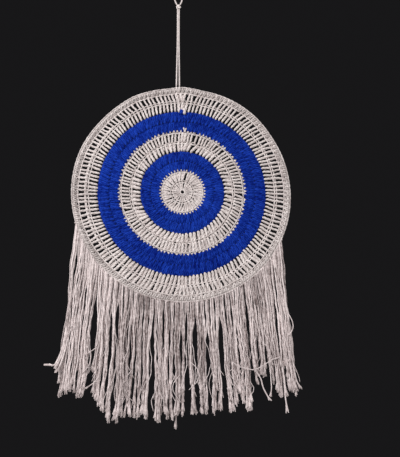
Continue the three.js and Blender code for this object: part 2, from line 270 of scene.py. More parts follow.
STRAYS = (
    (0, 1.4, (
        (-150, -1, -185), (-152.5, -3, -203), (-156.5, -4, -218), (-161, -4.5, -228.5),
        (-163.5, -4.5, -232.3), (-167, -4.5, -232.3), (-170.5, -4, -230.8))),
    (0, 1.2, (
        (-149, -2, -188), (-151, -3.5, -205), (-154.5, -5, -219), (-158, -5.5, -227.5),
        (-160.5, -5.3, -232))),
    (0, 1.1, (
        (-148, -2.5, -195), (-150, -4, -210), (-153, -5, -222), (-156, -5.5, -231), (-158.5, -5, -236.5))),
    (0, 1.0, (
        (-150, -1.5, -195), (-153.5, -3, -211), (-158, -4, -222), (-160.5, -4.2, -228), (-159, -4, -233),
        (-157.5, -3, -240), (-157.5, -2, -250))),
    (2, 0.6, (
        (-105, -2, -232), (-106, -4, -241), (-108.5, -5, -249), (-114, -5, -255), (-120, -4, -259))),
    (2, 0.6, (
        (-108, -2, -190), (-108.5, -3, -198), (-110.5, -4, -208), (-114, -4.5, -212), (-119, -4, -215))),
    (17, 0.65, (
        (66, -4.5, -228), (73, -6.5, -233), (80, -7, -235.5), (87, -7.3, -237), (95, -7.3, -238),
        (106, -7.2, -233), (118, -6.5, -225.5), (124, -4.5, -224))),
    (17, 0.85, (
        (94, -1, -215), (95, -2, -228), (97, -3, -238), (100.3, -3.3, -243.6), (104.1, -3.3, -250.1),
        (106.6, -3.3, -260.3), (111.1, -3, -269.3), (114.3, -3, -274.4))),
    (18, 0.65, (
        (116, -1, -220), (117, -2.5, -238.5), (117.4, -2.5, -250.1), (118, -2.5, -261.6),
        (116.8, -2.5, -268.7))),
    (20, 0.6, (
        (143, -2, -165), (146.5, -3.5, -172), (148.5, -4, -180), (147, -4, -187), (143.5, -3, -191))),
    (20, 0.9, (
        (147, -2, -225), (149, -3, -240), (151, -3, -250), (152.8, -3, -255), (155, -3, -258.5))),
)  # bunch, radius and route of each strand that hangs out of order, in millimetres

# The picture: 400 by 457, seen from a little to the left and below
VIEW_MIDDLE = Vector((24.1 * MM, 0, -50.1 * MM))  # from the hoop's middle to the middle of the picture
LIGHTS = (  # name, place, size, and the property that holds its power
    ("key_light", (-1.35, -1.55, 0.75), 1.2, "key"),
    ("fill_light", (1.6, -1.3, -0.1), 1.4, "fill"),
    ("back_light", (0.4, 1.9, 0.6), 1.2, "fill"),
)
FLOOR_RADIUS, FLOOR_LEVEL, FLOOR_THICK = 1.9, -1.6, 0.02

# The maps that a yarn finish reads
YARN_MAP = "yarn"
YARN_TINT = "tint"
MAP_LENGTH = 0.1  # length of yarn to one unit of the map

# What makes a yarn lighter or darker: the scales of its patterns, and what each adds. The plies add painted
# shade in the grooves between them; fibres, patches, flecks and each strand's tint vary the tone at random
FIBRES, PATCHES, FLECKS = 1500, 16, 260
YARN_BASE, PLY_SHADE_ADDS, FIBRE_ADDS, PATCH_ADDS, FLECK_ADDS = 0.22, 0.35, 0.2, 0.6, 1.2
TINT_ADDS = 0.45
TINT_AND_SHADE_ADDS = {"fringe": 0.85}  # the same for the fringe, whose strands differ more: partly random tone, partly painted shade, with dark strands standing for strands shaded behind others


def length_property(name, description, default):
    return FloatProperty(name=name, description=description, default=default, unit="LENGTH", precision=5)


def angle_property(name, description, default):
    return FloatProperty(name=name, description=description, default=default, subtype="ANGLE")


def power_property(name, description, default):
    return FloatProperty(name=name, description=description, default=default, unit="POWER")


def colour_property(name, description, default):
    return FloatVectorProperty(name=name, description=description, default=default, subtype="COLOR")


class DreamcatcherYarn(PropertyGroup):
    """Sizes of the yarn."""

    cord: length_property("Cord", "Thickness of the hanger's cord", 2.2 * MM)
    fringe: length_property("Fringe strand", "Thickness of a strand of the fringe", 1.7 * MM)
    twist: length_property("Twist", "Length of one turn of the yarn's plies", 6 * MM)
    tuft: length_property("Tuft", "Length of a strand's frayed end", 15 * MM)
    strands: IntProperty(name="Strands", description="Strands in a knot of the fringe", default=7, min=1)
    seed: IntProperty(name="Seed", description="Start of the differences between stitches", default=11)


class DreamcatcherColours(PropertyGroup):
    """Colours of the yarns and of the stage."""

    cream: colour_property("Cream", "Lit side of the cream yarn", (0.82, 0.75, 0.73))
    cream_shade: colour_property("Cream shade", "Grooves of the cream yarn", (0.50, 0.43, 0.415))
    # The rim's yarn is the cream yarn given a darker shade colour: painted shade that stands for the deeper
    # shading between its close stitches
    rim: colour_property("Rim", "Lit side of the rim's yarn", (0.79, 0.72, 0.70))
    rim_shade: colour_property("Rim shade", "Grooves of the rim's yarn", (0.33, 0.28, 0.27))
    # The fringe is the same yarn with a much darker shade colour: painted shade for the dark gaps and
    # shaded strands among the locks
    fringe: colour_property("Fringe", "Lit side of the fringe", (0.79, 0.69, 0.68))
    fringe_shade: colour_property("Fringe shade", "Grooves of the fringe", (0.16, 0.115, 0.11))
    blue: colour_property("Blue", "Lit side of the blue yarn", (0.012, 0.053, 0.42))
    blue_shade: colour_property("Blue shade", "Grooves of the blue yarn", (0.0002, 0.0045, 0.12))
    steel: colour_property("Steel", "Wire of the hoop", (0.55, 0.56, 0.57))
    floor: colour_property("Floor", "Floor far below", (0.80, 0.79, 0.77))
    backdrop: colour_property("Backdrop", "What the camera sees behind", (0.009, 0.0088, 0.0095))


class DreamcatcherStage(PropertyGroup):
    """Camera and lights."""

    lens: FloatProperty(name="Lens", description="Focal length", default=55.9, unit="CAMERA")
    distance: length_property("Distance", "From the camera to the picture's middle", 0.963)
    aside: angle_property("Aside", "How far the camera stands to the left", math.radians(5.1))
    below: angle_property("Below", "How far the camera stands below", math.radians(10.5))
    key: power_property("Key", "Power of the main light", 57)
    fill: power_property("Fill", "Power of the lights to the right and behind", 8)
    sky: FloatProperty(name="Sky", description="Strength of the light all round", default=0.38)


class Signal:
    """A shader socket that takes part in expressions: each operator adds a Math node."""

    def __init__(self, finish, socket):
        self.finish = finish
        self.socket = socket

    def math(self, operation, *values):
        return self.finish.node("ShaderNodeMath", {"operation": operation}, dict(enumerate(values)))

    def __add__(self, other):
        return self.math("ADD", self, other)

    def __sub__(self, other):
        return self.math("SUBTRACT", self, other)

    def __rsub__(self, other):
        return self.math("SUBTRACT", other, self)

    def __mul__(self, other):
        return self.math("MULTIPLY", self, other)

    __radd__ = __add__
    __rmul__ = __mul__


class Finish:
    """Builds one node tree, of a material or of the world."""

    def __init__(self, owner):
        owner.use_nodes = True
        self.owner = owner
        self.tree = owner.node_tree
        self.tree.nodes.clear()

    def node(self, kind, settings=None, values=None, output=0):
        """Adds a node with these settings, feeds its sockets, and gives back one of its outputs."""
        node = self.tree.nodes.new(kind)
        for name, value in (settings or {}).items():
            setattr(node, name, value)
        for socket, value in (values or {}).items():
            if isinstance(value, Signal):
                self.tree.links.new(value.socket, node.inputs[socket])
            else:
                node.inputs[socket].default_value = value
        return Signal(self, node.outputs[output]) if node.outputs else None

    def mix(self, share, first, second):
        """A colour between two others."""
        first, second = ((*c, 1) if isinstance(c, tuple) else c for c in (first, second))
        return self.node("ShaderNodeMix", {"data_type": "RGBA"}, {0: share, 6: first, 7: second}, 2)

    def noise(self, place, scale, detail=2):
        return self.node("ShaderNodeTexNoise", None, {"Vector": place, "Scale": scale, "Detail": detail})

    def surface(self, values):
        """Ends the tree in a Principled shader."""
        shader = self.node("ShaderNodeBsdfPrincipled", None, values)
        self.node("ShaderNodeOutputMaterial", None, {"Surface": shader})
        return self.owner


def cotton(name, light, shade, twist, varied, plies=3):
    """Matt twisted yarn: plies that wind round it, with painted shade in the grooves between them, a tint
    for each strand, and fine fibres.
    """
    finish = Finish(bpy.data.materials.new(name))
    yarn_map = finish.node("ShaderNodeUVMap", {"uv_map": YARN_MAP})
    along = finish.node("ShaderNodeSeparateXYZ", None, {0: yarn_map}, 0)
    around = finish.node("ShaderNodeSeparateXYZ", None, {0: yarn_map}, 1)
    turn = (along * (MAP_LENGTH / twist) + around * plies) * TAU
    ply = turn.math("SINE", turn) * 0.5 + 0.5
    tint = finish.node("ShaderNodeAttribute", {"attribute_name": YARN_TINT}, None, "Fac")
    place = finish.node("ShaderNodeTexCoord", None, None, "Object")
    fibre, patch, fleck = (finish.noise(place, scale) for scale in (FIBRES, PATCHES, FLECKS))
    # painted shade: the ply pattern mixes the grooves between plies towards the shade colour
    share = ply * PLY_SHADE_ADDS + fibre * FIBRE_ADDS + (tint - 0.5) * varied + YARN_BASE
    share = share + (patch - 0.5) * PATCH_ADDS + (fleck - 0.5) * FLECK_ADDS
    colour = finish.mix(share, tuple(shade), tuple(light))
    relief = finish.node(
        "ShaderNodeBump", None, {"Strength": 0.6, "Distance": 0.3 * MM, "Height": ply * 0.8 + fibre * 0.4})
    return finish.surface({
        "Base Color": colour, "Normal": relief, "Roughness": 0.95, "Specular IOR Level": 0.05,
        "Sheen Weight": 0.1, "Sheen Roughness": 0.6, "Sheen Tint": (*light, 1),
    })


def drawn_wire(colours):
    """Grey steel with the fine lines that a wire gets when it is drawn."""
    finish = Finish(bpy.data.materials.new("drawn_wire"))
    place = finish.node("ShaderNodeTexCoord", None, None, "Object")
    lines = finish.noise(place, 900)
    steel = tuple(colours.steel)
    colour = finish.mix(lines, tuple(0.8 * part for part in steel), steel)
    return finish.surface({"Base Color": colour, "Metallic": 1.0, "Roughness": lines * 0.2 + 0.25})


def painted_floor(colours):
    """Pale matt floor with a faint unevenness."""
    finish = Finish(bpy.data.materials.new("painted_floor"))
    place = finish.node("ShaderNodeTexCoord", None, None, "Object")
    pale = tuple(colours.floor)
    colour = finish.mix(finish.noise(place, 3), tuple(0.96 * part for part in pale), pale)
    return finish.surface({"Base Color": colour, "Roughness": 0.9})


class Yarn:
    """Gathers tubes of yarn into one mesh, with a map along and round each strand and a tint for each."""

    def __init__(self, seed):
        self.chance = np.random.default_rng(seed)
        self.corners, self.tints = [], []
        self.quads, self.quad_map = [], []
        self.ends, self.end_map = [], []
        self.size = 0

    def lay(self, paths, radius, sides=6, tint=(0, 1), plies=0, twist=0.0, groove=0.0):
        """Adds a closed tube along each path. The radius is a number, or one for each ring."""
        paths = np.asarray(paths, float)
        paths = paths.reshape(-1, *paths.shape[-2:])
        tubes, rings = paths.shape[:2]
        ahead = np.gradient(paths, axis=1)
        ahead /= np.linalg.norm(ahead, axis=2, keepdims=True)
        across = np.empty_like(paths)
        axis = np.eye(3)[np.abs(ahead[:, 0]).argmin(axis=1)]
        for ring in range(rings):
            axis = axis - (axis * ahead[:, ring]).sum(axis=1, keepdims=True) * ahead[:, ring]
            axis /= np.linalg.norm(axis, axis=1, keepdims=True)
            across[:, ring] = axis
        upright = np.cross(ahead, across)
        turn = np.arange(sides) * TAU / sides
        spokes = across[:, :, None] * np.cos(turn)[:, None] + upright[:, :, None] * np.sin(turn)[:, None]
        steps = np.linalg.norm(np.diff(paths, axis=1), axis=2)
        length = np.concatenate([np.zeros((tubes, 1)), steps.cumsum(axis=1)], axis=1)
        reach = np.broadcast_to(np.asarray(radius, float), (tubes, rings))[:, :, None] * np.ones(sides)
        if plies:
            wind = plies * (turn - TAU * length[:, :, None] / twist)
            reach = reach * (1 + groove * (np.cos(wind) - 1) / 2)
        self.corners.append((paths[:, :, None] + reach[..., None] * spokes).reshape(-1, 3))
        self.tints.append(np.repeat(self.chance.uniform(*tint, tubes), rings * sides))
        self._skin(length / MAP_LENGTH + self.chance.random((tubes, 1)), sides)

    def _skin(self, along, sides):
        """Faces and map of the tubes laid last."""
        tubes, rings = along.shape
        first = self.size + np.arange(tubes)[:, None, None] * rings * sides
        ring = np.arange(rings - 1)[None, :, None]
        spoke = np.arange(sides)[None, None, :]
        after = (spoke + 1) % sides
        low, high = first + ring * sides, first + (ring + 1) * sides
        faces = np.stack([low + spoke, low + after, high + after, high + spoke], -1)
        self.quads.append(faces.reshape(-1, 4))
        start, end = along[:, :-1, None], along[:, 1:, None]
        round_it = spoke / sides
        far_round = (spoke + 1) / sides
        places = [(start, round_it), (start, far_round), (end, far_round), (end, round_it)]
        joined = [np.stack(np.broadcast_arrays(*place), -1) for place in places]
        self.quad_map.append(np.stack(joined, -2).reshape(-1, 2))
        for cap, level in ((np.arange(sides)[::-1], 0), ((rings - 1) * sides + np.arange(sides), -1)):
            self.ends.extend((first[:, 0, 0][:, None] + cap).tolist())
            edge = np.stack(np.broadcast_arrays(along[:, level, None], (cap % sides) / sides), -1)
            self.end_map.append(edge.reshape(-1, 2))
        self.size += tubes * rings * sides

    def piece(self, name, material, slot):
        """Makes the object."""
        mesh = bpy.data.meshes.new(name)
        mesh.from_pydata(np.concatenate(self.corners), [], np.concatenate(self.quads).tolist() + self.ends)
        layer = mesh.uv_layers.new(name=YARN_MAP)
        places = np.concatenate(self.quad_map + self.end_map)
        layer.uv.foreach_set("vector", places.astype(np.float32).ravel())
        tint = mesh.attributes.new(YARN_TINT, "FLOAT", "POINT")
        tint.data.foreach_set("value", np.concatenate(self.tints).astype(np.float32))
        mesh.materials.append(material)
        mesh.shade_smooth()
        piece = bpy.data.objects.new(name, mesh)
        bpy.context.scene.collection.objects.link(piece)
        return piece


def finish_of(name):
    """The yarn finish of this name, made when it is first asked for."""
    scene = bpy.context.scene
    if name not in bpy.data.materials:
        light = getattr(scene.dreamcatcher_colours, name)
        shade = getattr(scene.dreamcatcher_colours, f"{name}_shade")
        cotton(name, light, shade, scene.dreamcatcher_yarn.twist, TINT_AND_SHADE_ADDS.get(name, TINT_ADDS))
    return bpy.data.materials[name]


def smooth(points, step, between=24):
    """Points at even steps along a smooth curve through the given ones."""
    points = np.asarray(points, float)
    padded = np.vstack([2 * points[0] - points[1], points, 2 * points[-1] - points[-2]])
    share = np.linspace(0, 1, between, endpoint=False)[:, None]
    fine = []
    for a, b, c, d in zip(padded, padded[1:], padded[2:], padded[3:]):
        bend = (2 * a - 5 * b + 4 * c - d) * share**2 + (3 * b - a - 3 * c + d) * share**3
        fine.append(b + ((c - a) * share + bend) / 2)
    fine = np.vstack([*fine, points[-1:]])
    length = np.concatenate([[0], np.linalg.norm(np.diff(fine, axis=0), axis=1).cumsum()])
    marks = np.linspace(0, length[-1], max(2, round(length[-1] / step) + 1))
    return np.stack([np.interp(marks, length, fine[:, axis]) for axis in range(3)], axis=1)


def out_of_round(radius, angle):
    """How far the work is drawn out with the rim: less and less from its edge inwards."""
    angle = (angle + math.pi) % TAU - math.pi
    share = np.clip((radius - BENT_FROM) / (WORK_RADIUS - BENT_FROM), 0, 1)
    return np.interp(angle, BENT[:, 0], BENT[:, 1]) * share


def work_point(radius, angle, depth):
    """Points of the crochet: radius, angle clockwise from the top, and depth towards the back."""
    radius = radius + out_of_round(radius, angle)
    side = HOOP.x + radius * np.sin(angle)
    height = HOOP.z + radius * np.cos(angle)
    return np.stack(np.broadcast_arrays(side, depth, height), -1)


def rim_point(angle, turn, reach, along=0):
    """Points round the rim: angle clockwise from the top, turn about the wire from outside to the back."""
    radius = HOOP_RADIUS + out_of_round(HOOP_RADIUS, angle) + reach * np.cos(turn)
    side = HOOP.x + radius * np.sin(angle) + along * np.cos(angle)
    height = HOOP.z + radius * np.cos(angle) - along * np.sin(angle)
    return np.stack(np.broadcast_arrays(side, reach * np.sin(turn), height), -1)


def chain(yarn, plan, angles, radius, open_by):
    """A row of links along a round's edge: an inner leg and an outer leg from each post to the next."""
    step = TAU / len(angles)
    middle = angles[:, None] + step / 2
    part = open_by * CHAIN_PART * yarn.chance.normal(1, CHAIN_UNEVEN, middle.shape)
    along = middle + CHAIN_ALONG * step
    yarn.lay(work_point(radius - part, along, CHAIN_INNER), CHAIN_STRAND)
    if plan.tooth:
        reach, width = plan.tooth
        across = middle + width * TOOTH_ALONG * step
        yarn.lay(work_point(radius + reach * TOOTH_OUT, across, TOOTH_DEPTH), TOOTH_STRAND)
        yarn.lay(work_point(radius + reach * TOOTH_CORE, middle, CORE_DEPTH), CORE_STRAND)
    else:
        yarn.lay(work_point(radius + part, along, CHAIN_OUTER), CHAIN_STRAND)
    if plan.broad:
        start, end = np.radians(plan.broad)
        within = (angles > start) & (angles < end)
        yarn.lay(work_point(radius + CHAIN_BAR, along[within], CHAIN_OUTER), BAR_STRAND)


def parted(angles, step, middle, share):
    """Angles of posts that stand apart at one place."""
    off = angles - math.radians(middle)
    return angles + share * step * np.sign(off) * np.exp(-np.square(off / (PARTED_REACH * step)))


def feet_of(tops, even, paired):
    """Where a round's posts stand: each in a loop of the round before, in some loops more than one."""
    loops, count = len(tops), len(even)
    nearest = 0.5 if count < NEAREST_LOOP * loops else 0
    loop = np.floor(even * loops / TAU + nearest).astype(int)
    shared = np.bincount(loop)
    rank = np.arange(count) - np.searchsorted(loop, loop)
    apart = (paired or 0.5) * TAU / loops
    feet = tops[loop % loops] + TAU * (loop // loops) + (rank - (shared[loop] - 1) / 2) * apart
    drawn = 0 if paired else EVEN_FEET * min(1, EVEN_GROWTH * (count / loops - 1))
    return feet + drawn * ((even - feet + math.pi) % TAU - math.pi)


def fullness(plan, angles):
    """How much fuller than usual the posts of a round are, at each angle."""
    below = plan.below * np.clip(-np.cos(angles) * 1.1, 0, 1) ** 4
    off_join = (angles - math.radians(plan.join) + math.pi) % TAU - math.pi
    return 1 + below + plan.joined * np.exp(-((off_join / JOIN_REACH) ** 4))


def posts(yarn, plan, full, feet, tops, foot_radius, top_radius):
    """The upright stitches of a round: three strands that wind round each other, and a turn over them."""
    full = (full * yarn.chance.normal(1, POST_UNEVEN, len(tops)))[:, None]
    rise = POST_RISE[None, :]
    radius = foot_radius + rise * (top_radius - foot_radius)
    lean = feet[:, None] + (tops - feet)[:, None] * rise * rise * (3 - 2 * rise)
    room = TAU * radius / plan.stitches
    closed = plan.closed == 1
    thickness = np.maximum(POST_THICK, closed)
    gather = np.maximum(POST_GATHER, CLOSED_GATHER * closed)
    thick = np.clip(STRAND_SHARE * room, STRAND_LEAST, plan.strand * MM) * thickness * full
    apart = np.clip(APART_SHARE * room, APART_LEAST, plan.apart * MM) * gather * full
    turn = yarn.chance.uniform(-0.6, 0.6, (len(tops), 1)) + TAU * POST_TURNS * rise
    for third in (0, TAU / 3, 2 * TAU / 3):
        angle = lean + apart * np.cos(turn + third) / radius
        depth = POST_DEPTH + apart * np.sin(turn + third) * 0.9
        yarn.lay(work_point(radius, angle, depth), thick)
    wraps(yarn, lean, radius, apart + thick, thick)


def wraps(yarn, lean, radius, half, thick):
    """The slanted turn of yarn in the middle of each post."""
    share = np.linspace(-1, 1, 5)
    middle, height = radius[:, 4:5], radius[:, 5:6] - radius[:, 3:4]
    level = middle - share * height * WRAP_SLANT
    depth = WRAP_DEPTH - WRAP_FORWARD * np.cos(share * math.pi / 2)
    angle = lean[:, 4:5] + share * half[:, 4:5] * WRAP_WIDTH / middle
    yarn.lay(work_point(level, angle, depth), thick[:, 4:5] * WRAP_STRAND, sides=5)


def backing(yarn, plan, full, feet, tops, foot_radius, top_radius, depth):
    """The strands behind the posts that fill the gaps between them, all or some."""
    filled = plan.closed + FILL_GROWTH * (full - 1)
    step = (np.roll(tops, -1) - tops) % TAU / 2
    chosen = yarn.chance.random(len(tops)) < filled
    if plan.parted:
        chosen[np.abs(tops + step - math.radians(plan.parted[0])).argmin()] = False
    rise = np.linspace(0, 1, 4)
    lean = (feet + step)[chosen, None] + (tops - feet)[chosen, None] * rise
    radius = foot_radius + rise * (top_radius - foot_radius)
    yarn.lay(work_point(radius, lean, depth), FILL_STRAND * plan.strand * MM, sides=5)


def hoop_finish():
    """The hoop keeps its solid, with the finish of drawn wire."""
    wire = frame["nodes"]["hoop"].data
    wire.materials.clear()
    wire.materials.append(drawn_wire(bpy.context.scene.dreamcatcher_colours))


class DREAMCATCHER_OT_rounds(Operator):
    """Work the ten rounds of crochet"""

    bl_idname = "dreamcatcher.rounds"
    bl_label = "Work the Rounds"

    def execute(self, context):
        inner, tops = EYE_RADIUS, None
        for number, name in enumerate(ROUNDS, 1):
            inner, tops = self.work(context, number, name, inner, tops)
        return {"FINISHED"}

    def work(self, context, number, name, inner, before):
        """One round, on the loops of the round before. Gives back its radius and its own loops."""
        yarn = Yarn(context.scene.dreamcatcher_yarn.seed + number)
        plan = WORKED[number - 1]
        outer = OUTER[number - 1]
        edge = outer - plan.inset * MM
        blue = name.endswith("blue")
        step = TAU / plan.stitches
        even = (np.arange(plan.stitches) + plan.turned) * step
        tops = even + yarn.chance.normal(0, plan.uneven, plan.stitches) * step
        feet = tops if before is None else feet_of(before, even, plan.paired)
        if plan.parted:
            tops, feet = (parted(angles, step, *plan.parted) for angles in (tops, feet))
        full = fullness(plan, tops)
        if before is None:
            foot_radius = inner + EYE_FEET
        else:
            foot_radius = inner - plan.dip * MM + yarn.chance.normal(0, FOOT_UNEVEN, (len(tops), 1))
        posts(yarn, plan, full, feet, tops, foot_radius, edge)
        low, high, depth = BLUE_FILL if blue else ((plan.open_feet or plan.dip) * MM, *WHITE_FILL)
        backing(yarn, plan, full, feet, tops, inner + FILL_INSIDE + low, edge - high, depth)
        chain(yarn, plan, tops, edge, BLUE_OPEN if blue else CHAIN_OPEN)
        if before is None:
            yarn.lay(work_point(inner + EYE_RING, np.linspace(0, TAU, 25), EYE_DEPTH), EYE_STRAND)
        for end in plan.ends:
            reach = np.linspace(end.start, end.tip, len(END_THICK)) * MM
            angle = np.radians(np.linspace(end.angle, end.to_angle, len(END_THICK)))
            yarn.lay(work_point(reach, angle, END_DEPTH), end.thick * END_THICK)
        colour = "blue" if blue else "cream"
        piece = yarn.piece(f"{name}_yarn", finish_of(colour), f"{colour}_yarn")
        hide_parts(name)
        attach(piece, "disc")
        return outer, tops


class DREAMCATCHER_OT_rim(Operator):
    """Cover the hoop with a row of short stitches"""

    bl_idname = "dreamcatcher.rim"
    bl_label = "Cover the Hoop"

    def execute(self, context):
        yarn = Yarn(context.scene.dreamcatcher_yarn.seed + 20)
        yarn.lay(rim_point(np.linspace(0, TAU, 145), 0, 0), RIM_CORE, sides=10)
        places = np.arange(RIM_STITCHES) + yarn.chance.normal(0, RIM_UNEVEN, RIM_STITCHES)
        angles = places * TAU / RIM_STITCHES
        self.stitches(yarn, angles[:, None])
        self.edge(yarn, angles[:, None])
        # the rim keeps the cream yarn's slot; its finish is that yarn with the darker painted shade
        piece = yarn.piece("rim_yarn", finish_of("rim"), "cream_yarn")
        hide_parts("rim_cover")
        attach(piece, "disc")
        hoop_finish()
        return {"FINISHED"}

    def stitches(self, yarn, angles):
        """Strands from the last round's chain over the wire to the outer edge, in front and behind."""
        step = TAU / RIM_STITCHES
        for part in RIM_LEGS:
            lean = angles + RIM_SLANT * step + part * step * RIM_PART
            yarn.lay(work_point(RIM_OUT, lean, RIM_DEPTH), RIM_THICK)
            yarn.lay(work_point(RIM_OUT, lean, -RIM_DEPTH), RIM_THICK)

    def edge(self, yarn, angles):
        """The chain of V loops along the outer edge."""
        along = angles + (CHAIN_ALONG + 0.5) * TAU / RIM_STITCHES
        for turn, inside in RIM_LOOPS:
            slant = turn + LOOP_SLANT * (CHAIN_PART - 0.5)
            reach = RIM_YARN - inside - LOOP_SINK * (1 - CHAIN_PART)
            yarn.lay(rim_point(along, slant, reach), LOOP_STRAND)


class DREAMCATCHER_OT_hanger(Operator):
    """Hang the hoop on its doubled cord"""

    bl_idname = "dreamcatcher.hanger"
    bl_label = "Tie the Hanger"

    def execute(self, context):
        sizes = context.scene.dreamcatcher_yarn
        self.finish = finish_of("cream")
        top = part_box("hanger_cord_left")[1].z
        for side, name in ((-1, "hanger_cord_left"), (1, "hanger_cord_right")):
            route = [(side * x * MM, 0, top - drop * MM) for x, drop in LEG_ROUTE]
            leg, path = self.cord(f"{name}_yarn", route, sizes)
            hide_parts(name)
            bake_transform(leg)
        right = [(x * MM, 0, z * MM) for x, z in LOOP_ROUTE]
        left = [(-x, 0, z) for x, _, z in right[:-1]]
        loop, path = self.cord("hanging_loop_yarn", right + left[::-1], sizes)
        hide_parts("hanging_loop")
        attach(loop, "hanging_loop")
        self.knot(sizes)
        self.hitch(sizes)
        return {"FINISHED"}

    def cord(self, name, route, sizes):
        """A twisted cord along a route, and the path that it follows."""
        path = smooth(route, CORD_STEP)
        return self.wound(name, path, sizes, sizes.seed), path.tolist()

    def wound(self, name, path, sizes, seed):
        """A piece of plied cord along a path."""
        yarn = Yarn(seed)
        yarn.lay(path, sizes.cord / 2, CORD_SIDES, plies=CORD_PLIES, twist=sizes.twist, groove=CORD_GROOVE)
        return yarn.piece(name, self.finish, "hanger_cord")

    def knot(self, sizes):
        """An overhand knot, drawn tight."""
        low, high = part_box("loop_knot")
        middle = (low + high) / 2
        turn = np.linspace(0, TAU, 73)
        reach = KNOT_REACH + KNOT_WAVE * np.cos(3 * turn)
        path = np.stack([
            middle.x + reach * np.cos(2 * turn),
            middle.y + KNOT_DEEP * np.sin(3 * turn),
            middle.z + reach * np.sin(2 * turn),
        ], axis=1)
        knot = self.wound("loop_knot_yarn", path, sizes, sizes.seed + 30)
        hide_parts("loop_knot")
        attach(knot, "loop_knot")

    def hitch(self, sizes):
        """Two turns of the cord round the rim, under the legs."""
        yarn = Yarn(sizes.seed + 31)
        angle = -math.asin(HOOP.x / HOOP_RADIUS)
        turn = np.linspace(0, TAU, 29)
        for side in (-1, 1):
            spread = side * (LEG_ROUTE[-1][0] * MM - HITCH_DRAWN * (1 - np.cos(turn)))
            yarn.lay(rim_point(angle, turn, RIM_YARN + HITCH_LIFT, spread), sizes.cord / 2, sides=8)
        hitch = yarn.piece("hanger_hitch_yarn", self.finish, "hanger_cord")
        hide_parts("hanger_hitch")
        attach(hitch, "disc")


class Lock(NamedTuple):
    """A few strands of the fringe that cling together."""

    middle: float  # side of its middle at the rim
    half: float  # half of its width, between the middles of its outer strands
    sway: float  # how far it hangs to the side
    pushed: float  # how far it is pushed aside where the fringe parts
    clings: float  # share of the drop from which its strands cling together
    phase: float  # start of its wave
    level: float  # its end, from the hem


def ease(share):
    """From 0 to 1 with soft ends."""
    share = np.clip(share, 0, 1)
    return share * share * (3 - 2 * share)


def rim_drop(side):
    """Height of the lower rim at this side, from the hoop's middle."""
    return -np.sqrt(FRINGE_RADIUS**2 - np.square(side))


def outermost(side):
    """From 0 to 1 over the outer parts of the row, where the rim is steep."""
    return np.clip((np.abs(side) - STEEP_FROM) / STEEP_OVER, 0, 1)


def strand_tops(count):
    """Side of each strand's top from the hoop's middle: a row for each bunch, knot by knot."""
    pitch = (HINGES[-1].x - HINGES[0].x) / (len(HINGES) - 1)
    middles = np.array([hinge.x - HOOP.x for hinge in HINGES])
    knots = middles[:, None] + ((np.arange(KNOTS) + 0.5) / KNOTS - 0.5) * pitch
    spread = KNOT_SPREAD * (1 + OUTER_SPREAD * outermost(knots))
    strands = FRINGE_TOP * knots[:, :, None] + (np.arange(count) - (count - 1) / 2) * spread[:, :, None]
    return strands.reshape(len(HINGES), -1)


def parting(side):
    """How far a strand is pushed aside where the fringe parts."""
    off = [(side - middle, width) for middle, width in PARTINGS]
    return sum(math.copysign(width / 2, by) * math.exp(-abs(by) / PARTING_REACH) for by, width in off)


